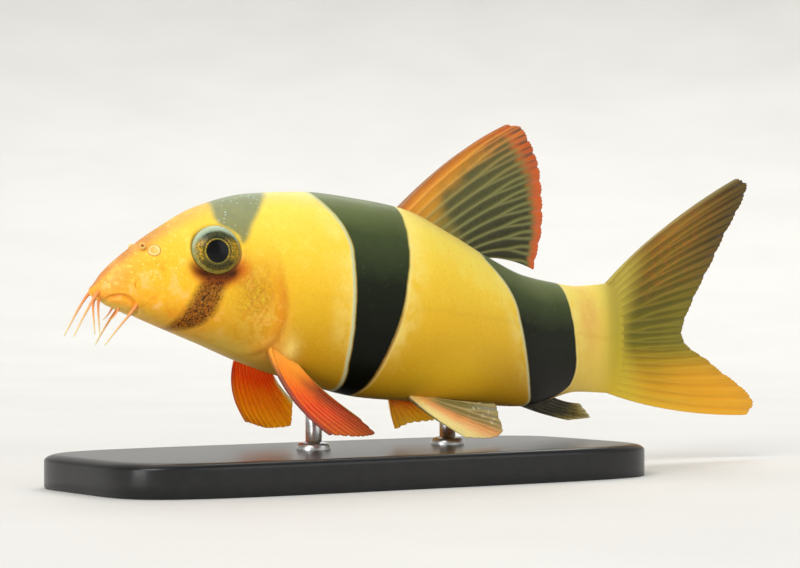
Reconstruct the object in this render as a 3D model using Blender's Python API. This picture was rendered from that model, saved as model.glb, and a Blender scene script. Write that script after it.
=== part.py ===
"""A clown loach (Chromobotia macracanthus), life size, as a still display model on a small stand.

The fish hovers low with its head turned a little to its left side and its tail swung away.
Lengths are in millimetres until a mesh is made, and in metres in the meshes.

Points on the fish are given as (along, side, height): along is the distance from the snout's
tip down the middle of the fish, which bends in plan, side is the distance to the left of that
middle line, and height is measured from the eye-level line, which runs LEVEL above the table.
"""
import math

import bpy
import numpy as np
from mathutils import Vector

for old in list(bpy.data.objects):
    bpy.data.objects.remove(old)

MM = 0.001
LENGTH = 100.0
GAP = 0.3

# Pose: height of the eye-level line, the fish's heading in plan, in degrees from +X, at
# distances from the snout, and where one point of the middle line stands over the base
LEVEL = 30.0
HEADING = ((0, 27.0), (30, 27.0), (42, 31.0), (55, 39.0), (70, 46.0), (85, 48.0), (100, 43.0),
           (110, 35.5), (120, 30.5), (140, 28.5))
PIVOT_ALONG = 51.0
PIVOT_PLACE = (6.7, 4.5)

# Body, at distances from the snout: height of the back, of the belly and of the widest line,
# half width, and the roundness of the section above and below the widest line (2 is an ellipse)
BACK = ((0, -0.9), (0.6, -0.1), (2, 1.8), (5, 4.4), (10, 7.9), (17, 11.6), (25, 13.5), (34, 13.9),
        (44, 12.9), (52, 11.5), (60, 8.3), (70, 4.1), (78, 1.5), (85, 0.4), (92, -0.3), (100, 0.1))
BELLY = ((0, -0.9), (0.6, -1.8), (2, -2.6), (5, -3.9), (10, -6.0), (17, -8.8), (25, -12.1),
         (34, -14.9), (44, -17.3), (55, -18.2), (70, -19.2), (78, -19.6), (85, -18.7),
         (92, -17.7), (100, -18.1))
WIDEST = ((0, -0.9), (2, -0.9), (10, -1.8), (25, -2.9), (44, -3.6), (60, -5.6), (78, -8.6),
          (100, -9.0))
HALF_WIDTH = ((0, 0.0), (0.6, 1.1), (2, 2.1), (5, 3.3), (10, 4.7), (17, 6.2), (25, 7.2), (34, 7.8),
              (44, 7.8), (52, 7.4), (60, 6.6), (70, 5.5), (85, 3.8), (92, 2.9), (100, 1.3))
ROUND_ABOVE = ((0, 1.9), (17, 1.8), (34, 1.9), (100, 1.9))
ROUND_BELOW = ((0, 2.0), (17, 2.3), (44, 2.3), (60, 2.1), (100, 2.0))

# Joints between head, trunk and tail: the gill opening bulges back on the flank
GILL_TOP = 24.5
GILL_FLANK = 28.0
GILL_THROAT = 21.5
TAIL_JOINT = 72.0

# Mouth, in the head's own side view: the upper lip is a band between two arches, its border and
# the line where it meets the chin; each arch has its top's height and how fast it falls away
MOUTH_MIDDLE = 3.8
PARTING_TOP = -1.65
PARTING_FALL = 0.30
BORDER_TOP = -0.75
BORDER_FALL = 0.14
MOUTH_FRONT = 2.2
MOUTH_END = 6.3
LIP_SWELL = 0.38
CHIN_SWELL = 0.25
PARTING_DEPTH = 0.45
PARTING_WIDTH = 0.3
CREASE_DEPTH = 0.1

# Fleshy knob under the snout's tip, fleshy root of the pectoral fins: along, height, radius and
# swell, and the raised rear edge of the gill covers
KNOB = (1.2, -1.5, 1.1, 0.25)
FIN_LOBE = (29.4, -10.4, 1.9, 0.45)
COVER_EDGE = 0.3

# Eyes: place, radius, half thickness, how deep the middle lies, and how level the axis is kept
EYE_PLACE = (17.8, 5.1)
EYE_RADIUS = 3.45
EYE_BULGE = 1.9
EYE_DEPTH = 0.55
EYE_LEVELLING = 0.55

# Nostrils: along, height, outer radius, how far they stand out, and radius of the bore
NOSTRILS = {"front": (7.9, 5.1, 0.4, 0.7, 0.2), "rear": (8.8, 4.8, 0.75, 0.15, 0.42)}
NOSTRIL_DEPTH = 0.7

# Fins: membrane thickness, height of a ray on each face, and share of the way out at which the
# fin starts to thin. Tips are (share across the fin, along, side, height), and bows are how far
# the middles of the first and the last ray bend off the straight line
MEMBRANE = 0.5
RAY_RIDGE = 0.17
FIN_EDGE = 0.7
WEB_NOTCH = 0.975
DORSAL_ROOT = (51.0, 69.5)
DORSAL_TIPS = ((0.0, 73.0, 1.2, 25.4), (0.1, 76.3, 1.2, 25.3), (0.22, 78.6, 1.2, 23.3),
               (0.45, 81.7, 1.0, 18.0), (0.75, 82.8, 0.6, 10.0), (1.0, 81.0, 0.2, 2.3))
DORSAL_BOWS = ((-1.0, 0.2, 2.5), (0.0, 0.2, 1.0))
ANAL_ROOT = (78.0, 86.0)
ANAL_TIPS = ((0.0, 90.0, 0.3, -22.3), (0.4, 95.5, 0.3, -22.0), (1.0, 93.0, 0.1, -19.6))
ANAL_BOWS = ((0.0, 0.0, -0.4), (0.0, 0.0, -0.4))
CAUDAL_TIPS = ((0.0, 128.4, 0.0, 18.3), (0.05, 130.8, 0.0, 17.2), (0.25, 124.6, 0.0, 6.2),
               (0.5, 116.9, 0.0, -8.3), (0.75, 123.8, 0.0, -14.0), (0.94, 132.0, 0.0, -20.6),
               (1.0, 130.6, 0.0, -22.6))
CAUDAL_BOWS = ((-0.6, 0.0, 1.8), (0.0, 0.0, -2.2))
CAUDAL_LOBES = {"upper": (0.0, 0.4915), "lower": (0.5085, 1.0)}
PECTORAL_ROOT = ((25.9, -9.6), (30.4, -12.0))
PECTORAL_TIPS = {
    "left": ((0.0, 33.0, 11.5, -22.2), (0.35, 38.0, 11.0, -22.6), (0.75, 40.8, 10.0, -22.2),
             (1.0, 38.5, 9.0, -19.6)),
    "right": ((0.0, 30.5, -13.0, -21.3), (0.35, 35.0, -13.5, -22.4), (0.7, 38.5, -12.5, -22.0),
              (1.0, 37.5, -10.0, -18.0))}
PECTORAL_BOWS = {"left": ((-2.2, 1.2, -2.0), (-0.4, 1.0, -0.4)),
                 "right": ((-2.6, -2.0, -0.6), (-0.4, -1.0, -0.4))}
PELVIC_ROOT = ((51.0, -17.3), (54.5, -17.6))
PELVIC_TIPS = {
    "left": ((0.0, 59.2, 6.5, -23.7), (0.35, 63.5, 6.8, -23.9), (0.75, 67.3, 5.8, -22.6),
             (1.0, 66.0, 4.0, -19.8)),
    "right": ((0.0, 56.5, -7.5, -22.8), (0.3, 60.0, -7.5, -21.9), (0.75, 64.5, -6.5, -21.5),
              (1.0, 64.5, -4.5, -19.9))}
PELVIC_BOWS = {"left": ((0.0, 0.3, -0.8), (0.0, 0.3, -0.3)),
               "right": ((0.0, -0.3, -0.8), (0.0, -0.3, -0.3))}

# Barbels of the left side: root (along, height), tip, bow and radius at the root
BARBELS = {
    "rostral_outer": ((0.9, -1.1), (-3.2, 2.0, -7.65), (-0.5, 0.1, 0.3), 0.42),
    "rostral_inner": ((1.2, -2.0), (1.2, 1.0, -7.4), (-0.2, 0.0, 0.0), 0.38),
    "maxillary": ((6.6, -3.0), (1.6, 1.9, -8.9), (0.2, 0.9, -0.6), 0.45),
    "mandibular": ((4.1, -3.35), (2.6, 1.5, -5.3), (0.1, 0.0, -0.2), 0.3)}
BARBEL_ROWS = 11
BARBEL_SIDES = 7

# Stand: a rounded plate and two rods up to the belly
BASE_SIZE = (94.0, 40.0, 5.0)
BASE_BEVEL = 1.0
BASE_SQUARENESS = 5.0
BASE_HEADING = 34.0
ROD_RADIUS = 1.25
ROD_PLACES = {"front": 36.0, "rear": 61.0}

# Colours
HEAD_ORANGE = (0.85, 0.48, 0.10)
BODY_YELLOW = (0.85, 0.55, 0.08)
TAIL_YELLOW = (0.80, 0.55, 0.18)
EYE_OLIVE = (0.10, 0.11, 0.06)
DORSAL_BROWN = (0.35, 0.22, 0.08)
ANAL_BLACK = (0.16, 0.12, 0.04)
CAUDAL_YELLOW = (0.80, 0.55, 0.15)
PECTORAL_RED = (0.80, 0.20, 0.04)
PELVIC_ORANGE = (0.85, 0.40, 0.12)
BARBEL_ORANGE = (0.90, 0.36, 0.12)
BASE_BLACK = (0.05, 0.05, 0.055)
STEEL = (0.62, 0.62, 0.60)


def smooth(x, knots, values):
    """Cubic curve through the knots that never overshoots between them."""
    knots = np.asarray(knots, float)
    values = np.asarray(values, float)
    step = np.diff(knots)
    rise = np.diff(values) / step
    same = rise[:-1] * rise[1:] > 0
    before = 2 * step[1:] + step[:-1]
    after = step[1:] + 2 * step[:-1]
    share = before * rise[1:] + after * rise[:-1] + ~same
    slope = np.concatenate(([rise[0]], (before + after) * rise[:-1] * rise[1:] / share * same,
                            [rise[-1]]))
    x = np.asarray(x, float)
    i = np.clip(np.searchsorted(knots, x) - 1, 0, len(step) - 1)
    t = np.clip((x - knots[i]) / step[i], 0.0, 1.0)
    return ((1 + 2 * t) * (1 - t) ** 2 * values[i] + t * (1 - t) ** 2 * step[i] * slope[i]
            + t * t * (3 - 2 * t) * values[i + 1] + t * t * (t - 1) * step[i] * slope[i + 1])


def fade(x, start, end):
    """0 before start, 1 after end, smooth between."""
    t = np.clip((x - start) / (end - start), 0.0, 1.0)
    return t * t * (3 - 2 * t)


def plan_line():
    """Middle line of the fish in plan, from ahead of the snout to behind the tail fin."""
    along = np.linspace(-20.0, 140.0, 1601)
    angle = np.radians(smooth(along, *zip(*HEADING)))
    step = along[1] - along[0]
    x = np.concatenate(([0.0], np.cumsum((np.cos(angle[1:]) + np.cos(angle[:-1])) / 2 * step)))
    y = np.concatenate(([0.0], np.cumsum((np.sin(angle[1:]) + np.sin(angle[:-1])) / 2 * step)))
    x += PIVOT_PLACE[0] - np.interp(PIVOT_ALONG, along, x)
    y += PIVOT_PLACE[1] - np.interp(PIVOT_ALONG, along, y)
    return along, x, y, angle


PLAN = plan_line()


def place(along, side, height):
    """World points, in mm, of points given as along, side and height."""
    line, x, y, angle = PLAN
    heading = np.interp(along, line, angle)
    return np.stack(np.broadcast_arrays(
        np.interp(along, line, x) + side * np.sin(heading),
        np.interp(along, line, y) - side * np.cos(heading),
        LEVEL + height), axis=-1)


def body_value(along, stations):
    """A body value between its stations, which are closer together in the blunt snout."""
    places, values = zip(*stations)
    return smooth(np.sqrt(np.clip(along, 0.0, LENGTH)), np.sqrt(places), values)


def section(along, turn):
    """Plain body: turn is 0 on the back, 90 degrees on the left and 180 on the belly.

    Each half is a superellipse about the widest line, with its own height and roundness."""
    c = np.cos(turn)
    s = np.sin(turn)
    above = c > 0
    widest = body_value(along, WIDEST)
    power = 2.0 / np.where(above, body_value(along, ROUND_ABOVE), body_value(along, ROUND_BELOW))
    reach = np.where(above, body_value(along, BACK) - widest, widest - body_value(along, BELLY))
    side = body_value(along, HALF_WIDTH) * np.sign(s) * np.abs(s) ** power
    return side, widest + reach * np.sign(c) * np.abs(c) ** power


def gill_line(turn):
    """Distance from the snout of the gill opening, round the body."""
    flank = np.abs(np.sin(turn)) ** 1.5
    return np.where(np.cos(turn) < 0, GILL_THROAT, GILL_TOP) * (1 - flank) + GILL_FLANK * flank


def tail_line(turn):
    """Distance from the snout of the joint between trunk and tail."""
    return np.full_like(turn, TAIL_JOINT)


def bump(along, height, form):
    """A round swelling of the skin in side view."""
    middle, level, radius, swell = form
    return swell * np.exp(-((along - middle) ** 2 + (height - level) ** 2) / radius ** 2)


def lips(along, height):
    """Swell of the upper lip and the chin, with the line that parts them."""
    ahead = along - MOUTH_MIDDLE
    border = height - BORDER_TOP + BORDER_FALL * ahead ** 2
    parting = height - PARTING_TOP + PARTING_FALL * ahead ** 2
    band = np.clip(border / (border - parting), 0.0, 1.0)
    border = border / np.hypot(1.0, 2 * BORDER_FALL * ahead)
    parting = parting / np.hypot(1.0, 2 * PARTING_FALL * ahead)
    lip = LIP_SWELL * np.sin(math.pi * band) ** 0.8
    chin = CHIN_SWELL * fade(-parting, 0.0, 0.7)
    line = PARTING_DEPTH * np.exp(-(parting / PARTING_WIDTH) ** 2)
    crease = CREASE_DEPTH * np.exp(-(border / PARTING_WIDTH) ** 2)
    reach = (fade(along, MOUTH_FRONT - 0.3, MOUTH_FRONT + 0.5)
             * (1 - fade(along, MOUTH_END, MOUTH_END + 1.2)))
    return reach * (lip + chin - line - crease)


def relief(along, turn, height):
    """How far the skin stands out of the plain section: lips, gill cover and fleshy swellings."""
    behind = along - gill_line(turn)
    edge = np.exp(-((behind + 0.8) / 0.8) ** 2) - 0.6 * np.exp(-((behind - 0.5) / 0.5) ** 2)
    cover = COVER_EDGE * edge * fade(np.abs(np.sin(turn)), 0.35, 0.75)
    return lips(along, height) + cover + bump(along, height, KNOB) + bump(along, height, FIN_LOBE)


def skin(along, turn):
    """Skin points as (along, side, height) and their outward normals, relief included."""
    along, turn = np.broadcast_arrays(np.asarray(along, float), np.asarray(turn, float))
    side, height = section(along, turn)
    step = 0.02
    low = np.clip(along - step, 0.0, LENGTH)
    high = np.clip(along + step, 0.0, LENGTH)
    ahead = np.stack([high - low, *np.subtract(section(high, turn), section(low, turn))], axis=-1)
    around = np.stack([np.zeros_like(along), *np.subtract(section(along, turn + step),
                                                          section(along, turn - step))], axis=-1)
    normal = np.cross(ahead, around)
    normal /= np.maximum(np.linalg.norm(normal, axis=-1, keepdims=True), 1e-9)
    point = np.stack([along, side, height], axis=-1)
    return point + normal * relief(along, turn, height)[..., None], normal


def turn_at(along, height, side):
    """Where round the section the skin reaches a height, on the left or the right."""
    turns = np.linspace(0.0, math.pi, 721)
    heights = section(np.full_like(turns, along), turns)[1]
    found = np.interp(-height, -heights, turns)
    return found if side == "left" else -found


def mirrored(point, side):
    """A point of the left side, or its mirror image for the right."""
    return np.array(point) * (1, 1 if side == "left" else -1, 1)


def skin_frame(along, height, side, levelling=1.0):
    """World point of the skin and its outward axis; levelling below 1 tips the axis level."""
    point, normal = skin(along, turn_at(along, height, side))
    normal = normal * (1.0, 1.0, levelling)
    foot = place(*point)
    axis = place(*(point + normal)) - foot
    return foot, axis / np.linalg.norm(axis)


def facing_out(points, faces):
    """The triangles of a closed skin, turned to face outwards by the sign of its volume."""
    a, b, c = (np.asarray(points)[np.array(faces)[:, k]] for k in range(3))
    if np.einsum("ij,ij->i", a, np.cross(b, c)).sum() < 0:
        return [face[::-1] for face in faces]
    return faces


def make_object(name, points, faces, colour, rough, metal=0.0):
    """A named object from world points in mm, with a material of its own."""
    mesh = bpy.data.meshes.new(name)
    mesh.from_pydata((np.asarray(points) * MM).tolist(), [], facing_out(points, faces))
    mesh.update()
    mesh.shade_smooth()
    material = bpy.data.materials.new(name + "_finish")
    material.use_nodes = True
    shader = material.node_tree.nodes["Principled BSDF"]
    shader.inputs["Base Color"].default_value = (*colour, 1.0)
    shader.inputs["Roughness"].default_value = rough
    shader.inputs["Metallic"].default_value = metal
    mesh.materials.append(material)
    made = bpy.data.objects.new(name, mesh)
    bpy.context.collection.objects.link(made)
    return made


def closed_tube(rings, start=None, end=None):
    """Points and triangles of a closed skin through rings of equal count, ended by two poles."""
    count = len(rings[0])
    start = np.mean(rings[0], axis=0) if start is None else start
    end = np.mean(rings[-1], axis=0) if end is None else end
    points = np.vstack([*rings, start, end])
    first_pole = len(points) - 2
    last_pole = len(points) - 1
    last_ring = (len(rings) - 1) * count
    faces = []
    for k in range(count):
        n = (k + 1) % count
        faces.append((first_pole, k, n))
        faces.append((last_pole, last_ring + n, last_ring + k))
        for r in range(len(rings) - 1):
            a, b = r * count + k, r * count + n
            c, d = a + count, b + count
            faces += [(a, c, b), (c, d, b)] if r % 2 else [(a, c, d), (a, d, b)]
    return points, faces


def turned_shape(foot, axis, profile, around):
    """A closed turned shape: profile gives (radius, offset along the axis) from end to end."""
    across = Vector(axis).cross(Vector((0, 0, 1))).normalized()
    third = Vector(axis).cross(across)
    ring = np.arange(around) * 2 * math.pi / around
    flat = np.outer(np.cos(ring), across) + np.outer(np.sin(ring), third)
    rings = [foot + axis * offset + flat * radius for radius, offset in profile[1:-1]]
    return closed_tube(rings, foot + axis * profile[0][1], foot + axis * profile[-1][1])


def ball_profile(radius, bulge, depth, bands=10):
    """Profile of a flattened ball whose middle lies depth under the skin."""
    lean = np.linspace(0.0, math.pi, bands + 1)
    return list(zip(radius * np.sin(lean), -depth - bulge * np.cos(lean)))


def fuse_or_cut(target, shape, name, operation):
    """Fuse a closed shape onto an object, or cut it away."""
    tool = make_object(name, *shape, BASE_BLACK, 0.5)
    tool.hide_render = True
    tool.display_type = "WIRE"
    change = target.modifiers.new(name, "BOOLEAN")
    change.operation = operation
    change.solver = "EXACT"
    change.object = tool


def cap_ring(along, turn, share):
    """A ring of a joint's closing face, share of the way out from the middle to the skin."""
    middle = np.array([np.mean(along), 0.0, body_value(np.mean(along), WIDEST)])
    rim = skin(along, turn)[0]
    return place(*(middle + (rim - middle) * share).T)


def flesh(name, front, rear, rows, around, crowd, colour):
    """One length of the body between two joints; front and rear give the joints round the body.

    rows are shares of the way from the front joint to the rear one, and crowd draws the grid's
    lines together towards the belly. A joint is closed by a face that keeps half the gap."""
    turn = np.arange(around) * 2 * math.pi / around
    turn = turn + crowd * np.sin(turn)
    start = front(turn) + GAP / 2 if front else np.zeros(around)
    end = rear(turn) - GAP / 2 if rear else np.full(around, LENGTH)
    rings = [cap_ring(start, turn, share) for share in (0.35, 0.7)] if front else []
    rings += [place(*skin(start + (end - start) * row, turn)[0].T) for row in rows]
    rings += [cap_ring(end, turn, share) for share in (0.7, 0.35)] if rear else []
    poles = [cap_ring(start, turn, 0.0)[0], cap_ring(end, turn, 0.0)[0]]
    return make_object(name, *closed_tube(rings, *poles), colour, 0.35)


def make_head():
    head = flesh("head", None, gill_line, 0.012 + 0.988 * np.linspace(0.0, 1.0, 54) ** 1.4,
                 48, 0.3, HEAD_ORANGE)
    for side in ("left", "right"):
        frame = skin_frame(*EYE_PLACE, side, EYE_LEVELLING)
        ball = ball_profile(EYE_RADIUS, EYE_BULGE, EYE_DEPTH)
        make_object("eye_" + side, *turned_shape(*frame, ball, 24), EYE_OLIVE, 0.08)
        socket = ball_profile(EYE_RADIUS + GAP, EYE_BULGE + GAP, EYE_DEPTH)
        fuse_or_cut(head, turned_shape(*frame, socket, 24), "socket_" + side, "DIFFERENCE")
        for end, (along, height, radius, stand, bore) in NOSTRILS.items():
            frame = skin_frame(along, height, side)
            tube = ((0, -0.5), (radius * 1.2, -0.5), (radius * 1.1, 0), (radius, stand), (0, stand))
            fuse_or_cut(head, turned_shape(*frame, tube, 12), f"nostril_{end}_{side}", "UNION")
            hole = ((0, -NOSTRIL_DEPTH), (bore * 0.7, -NOSTRIL_DEPTH), (bore, stand + 0.5),
                    (0, stand + 0.5))
            fuse_or_cut(head, turned_shape(*frame, hole, 10), f"bore_{end}_{side}", "DIFFERENCE")


def root_on_skin(start, end):
    """Root points of a fin, GAP off the skin, between two (along, turn) ends."""
    def roots(share):
        point, normal = skin(start[0] + (end[0] - start[0]) * share,
                             start[1] + (end[1] - start[1]) * share)
        return point + normal * GAP
    return roots


def caudal_root(share):
    """Root points of the tail fin, GAP behind the body's last section."""
    back = body_value(LENGTH, BACK) - 0.1
    belly = body_value(LENGTH, BELLY) + 0.1
    return np.stack([np.full_like(share, LENGTH + GAP), 0 * share,
                     back + (belly - back) * share], axis=-1)


def sheet_faces(lines, rows):
    """Triangles of two like grids back to back, split alike, and joined round their edge."""
    back = lines * rows
    faces = []
    for i in range(lines - 1):
        for j in range(rows - 1):
            a = i * rows + j
            b, c, d = a + rows, a + rows + 1, a + 1
            faces += [(a, b, c), (a, c, d)]
            faces += [(back + a, back + c, back + b), (back + a, back + d, back + c)]
    edge = ([i * rows for i in range(lines)]
            + [(lines - 1) * rows + j for j in range(1, rows)]
            + [i * rows + rows - 1 for i in range(lines - 2, -1, -1)]
            + [j for j in range(rows - 2, 0, -1)])
    for a, b in zip(edge, edge[1:] + edge[:1]):
        faces += [(a, back + a, back + b), (a, back + b, b)]
    return faces


def fin(name, roots, tips, bows, rays, rows, swell, colour, span=(0.0, 1.0)):
    """A fin: a closed membrane with its rays raised as ridges in its own surface.

    roots gives the root points at shares across the fin, swell is how much thicker each side of
    the root is than the membrane, and span is the part of the fin that is made. Every second
    line of the grid is a ray, a curve from root to tip through its bowed middle."""
    lines = 2 * rays - 1
    across = np.linspace(*span, lines)
    web = np.arange(lines) % 2 == 1
    shares, *axes = zip(*tips)
    root = roots(across)
    tip = np.stack([smooth(across, shares, axis) for axis in axes], axis=-1)
    tip = root + (tip - root) * np.where(web, WEB_NOTCH, 1.0)[:, None]
    first, last = np.array(bows)
    bend = (root + tip) / 2 + first + (last - first) * across[:, None]
    v = np.linspace(0.0, 1.0, rows)[None, :, None]
    middle = ((1 - v) ** 2 * root[:, None] + 2 * v * (1 - v) * bend[:, None]
              + v ** 2 * tip[:, None])
    middle = place(*np.moveaxis(middle, -1, 0))
    normal = np.cross(np.gradient(middle, axis=0), np.gradient(middle, axis=1))
    normal /= np.linalg.norm(normal, axis=-1, keepdims=True)
    ridge = np.where(web, 0.0, RAY_RIDGE)[:, None, None] * (1 - 0.4 * v)
    half = (MEMBRANE / 2 + ridge) * (1 - 0.5 * fade(v, FIN_EDGE, 1.0)) + swell * (1 - v) ** 6
    points = np.vstack([(middle + normal * half).reshape(-1, 3),
                        (middle - normal * half).reshape(-1, 3)])
    make_object(name, points, sheet_faces(lines, rows), colour, 0.45)


def make_fins():
    back_ends = [(along, 0.0) for along in DORSAL_ROOT]
    fin("dorsal_fin", root_on_skin(*back_ends), DORSAL_TIPS, DORSAL_BOWS, 12, 9, 0.2, DORSAL_BROWN)
    belly_ends = [(along, math.pi) for along in ANAL_ROOT]
    fin("anal_fin", root_on_skin(*belly_ends), ANAL_TIPS, ANAL_BOWS, 7, 7, 0.1, ANAL_BLACK)
    for lobe, span in CAUDAL_LOBES.items():
        fin("caudal_fin_" + lobe, caudal_root, CAUDAL_TIPS, CAUDAL_BOWS, 9, 9, 0.75,
            CAUDAL_YELLOW, span)
    for side in ("left", "right"):
        ends = [(along, turn_at(along, height, side)) for along, height in PECTORAL_ROOT]
        fin("pectoral_fin_" + side, root_on_skin(*ends), PECTORAL_TIPS[side],
            PECTORAL_BOWS[side], 9, 8, 0.3, PECTORAL_RED)
        ends = [(along, turn_at(along, height, side)) for along, height in PELVIC_ROOT]
        fin("pelvic_fin_" + side, root_on_skin(*ends), PELVIC_TIPS[side], PELVIC_BOWS[side],
            7, 7, 0.2, PELVIC_ORANGE)


def barbel(name, root, tip, bow, radius, side):
    """A tapered feeler that leaves the skin squarely, with a thicker foot, and bows to its tip."""
    point, normal = skin(root[0], turn_at(*root, side))
    start = point + normal * GAP
    leave = start + normal * 0.9
    tip = mirrored(tip, side)
    bend = (start + tip) / 2 + mirrored(bow, side)
    v = np.linspace(0.0, 1.0, BARBEL_ROWS)[:, None]
    path = place(*((1 - v) ** 3 * start + 3 * v * (1 - v) ** 2 * leave
                   + 3 * v ** 2 * (1 - v) * bend + v ** 3 * tip).T)
    thick = radius * (1 - 0.55 * v + 0.3 * (1 - v) ** 8)
    ahead = np.gradient(path, axis=0)
    ahead[0] = place(*(point + normal)) - place(*point)
    ahead /= np.linalg.norm(ahead, axis=1, keepdims=True)
    across = np.cross(ahead, (0.3, 1.0, 0.0))
    across /= np.linalg.norm(across, axis=1, keepdims=True)
    third = np.cross(ahead, across)
    turns = np.arange(BARBEL_SIDES) * 2 * math.pi / BARBEL_SIDES
    rings = [path[k] + thick[k] * (np.outer(np.cos(turns), across[k])
                                   + np.outer(np.sin(turns), third[k]))
             for k in range(BARBEL_ROWS)]
    make_object(name, *closed_tube(rings), BARBEL_ORANGE, 0.4)


def make_stand():
    length, width, thick = BASE_SIZE
    turn = np.arange(40) * 2 * math.pi / 40
    corner = 2.0 / BASE_SQUARENESS
    x = length / 2 * np.sign(np.cos(turn)) * np.abs(np.cos(turn)) ** corner
    y = width / 2 * np.sign(np.sin(turn)) * np.abs(np.sin(turn)) ** corner
    heading = math.radians(BASE_HEADING)
    x, y = (x * math.cos(heading) - y * math.sin(heading),
            x * math.sin(heading) + y * math.cos(heading))
    inner = 1 - 2 * BASE_BEVEL / width
    rings = [np.column_stack([x * size, y * size, np.full_like(x, height)])
             for size, height in ((1.0, 0.0), (1.0, thick - BASE_BEVEL), (inner, thick))]
    make_object("stand_base", *closed_tube(rings), BASE_BLACK, 0.4)
    turn = np.arange(16) * 2 * math.pi / 16
    for end, along in ROD_PLACES.items():
        lengthwise = along + ROD_RADIUS * np.cos(turn)
        top = place(lengthwise, ROD_RADIUS * np.sin(turn), body_value(lengthwise, BELLY) - GAP)
        foot = top * (1, 1, 0) + (0, 0, thick + GAP)
        make_object("stand_rod_" + end, *closed_tube([foot, top]), STEEL, 0.3, 1.0)


make_head()
flesh("trunk", gill_line, tail_line, np.linspace(0.0, 1.0, 24), 36, 0.0, BODY_YELLOW)
flesh("tail", tail_line, None, np.linspace(0.0, 1.0, 14), 32, 0.0, TAIL_YELLOW)
make_fins()
for kind, (root, tip, bow, radius) in BARBELS.items():
    for side in ("left", "right"):
        barbel(f"barbel_{kind}_{side}", root, tip, bow, radius, side)
make_stand()
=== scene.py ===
"""The looks of a still, life-size clown loach on a small stand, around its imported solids.

Points on the fish are (along, side, height) in millimetres: along is the distance from the
snout's tip down the middle line, which bends in plan, side is the distance to the fish's left
of that line, and height is measured from the eye-level line.
"""
import math

import bpy
import numpy as np
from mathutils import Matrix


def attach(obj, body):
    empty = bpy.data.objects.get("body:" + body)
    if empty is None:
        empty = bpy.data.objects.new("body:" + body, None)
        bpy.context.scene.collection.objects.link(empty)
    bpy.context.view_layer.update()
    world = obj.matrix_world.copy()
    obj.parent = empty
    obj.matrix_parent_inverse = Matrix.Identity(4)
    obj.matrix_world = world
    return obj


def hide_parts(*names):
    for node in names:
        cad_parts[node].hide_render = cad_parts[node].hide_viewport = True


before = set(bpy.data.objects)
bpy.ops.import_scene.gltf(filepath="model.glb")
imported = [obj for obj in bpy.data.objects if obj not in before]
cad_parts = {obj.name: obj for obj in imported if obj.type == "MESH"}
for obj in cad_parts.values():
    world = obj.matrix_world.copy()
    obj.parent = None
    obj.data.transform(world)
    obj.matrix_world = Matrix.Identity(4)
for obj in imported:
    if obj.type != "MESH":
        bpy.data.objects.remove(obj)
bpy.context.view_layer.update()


# Body skin: one seamless skin over head, trunk and tail, cast in soft resin and painted by hand
# in thin coats, yellow with three black bands. Its shape is a row of superellipse sections on a
# middle line that bends in plan, with the mouth, gill covers and eye rims raised on it.

MM = 0.001
LENGTH = 100.0
LEVEL = 30.0
HEADING = ((0, 27.0), (30, 27.0), (42, 31.0), (55, 39.0), (70, 46.0), (85, 48.0), (100, 43.0),
           (110, 35.5), (120, 30.5), (140, 28.5))
PIVOT_ALONG = 51.0
PIVOT_PLACE = (6.7, 4.5)
BACK = ((0, -0.9), (0.6, -0.1), (2, 1.8), (5, 4.4), (10, 7.9), (17, 11.6), (25, 13.5), (34, 13.9),
        (44, 12.9), (52, 11.5), (60, 8.3), (70, 4.1), (78, 1.5), (85, 0.4), (92, -0.3), (100, 0.1))
BELLY = ((0, -0.9), (0.6, -1.8), (2, -2.6), (5, -3.9), (10, -6.0), (17, -8.8), (25, -12.1),
         (34, -14.9), (44, -17.3), (55, -18.2), (70, -19.2), (78, -19.6), (85, -18.7),
         (92, -17.7), (100, -18.1))
WIDEST = ((0, -0.9), (2, -0.9), (10, -1.8), (25, -2.9), (44, -3.6), (60, -5.6), (78, -8.6),
          (100, -9.0))
HALF_WIDTH = ((0, 0.0), (0.6, 1.1), (2, 2.1), (5, 3.3), (10, 4.7), (17, 6.2), (25, 7.2), (34, 7.8),
              (44, 7.8), (52, 7.4), (60, 6.6), (70, 5.5), (85, 3.8), (92, 2.9), (100, 1.3))
ROUND_ABOVE = ((0, 1.9), (17, 1.8), (34, 1.9), (100, 1.9))
ROUND_BELOW = ((0, 2.0), (17, 2.3), (44, 2.3), (60, 2.1), (100, 2.0))
GILL_TOP = 24.5
GILL_FLANK = 28.0
GILL_THROAT = 21.5
COVER_SWELL = 0.16
COVER_GROOVE = 0.1
MOUTH_MIDDLE = 3.8
MOUTH_FRONT = 2.2
MOUTH_END = 6.3
PARTING_TOP = -1.65
PARTING_FALL = 0.30
PARTING_DEPTH = 0.26
BORDER_TOP = -0.75
BORDER_FALL = 0.14
BORDER_DEPTH = 0.06
LIP_SWELL = 0.3
LIP_WRINKLE = 0.03
CHIN_SWELL = 0.2
EYE_PLACE = (17.8, 5.0)
EYE_RADIUS = 3.7
RIM_SWELL = 0.1
SOCKET_DEPTH = 0.4
SENSE_LINE = (28.0, -1.2, -0.11, 0.015)
SNOUT_FOLD = (13.0, 2.6, -0.28, 0.1)
SNOUT_KNOB = (1.2, -1.5, 1.0, 0.25, 1.1)
FIN_LOBE = (29.3, -10.2, 0.7, 0.28, 1.3)
CHEEK = (22.5, -3.0, 1.0, 0.18, 4.5)
TAIL_WEDGE = 4.0
SKIN_RINGS = 400
SKIN_SIDES = 240


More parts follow.
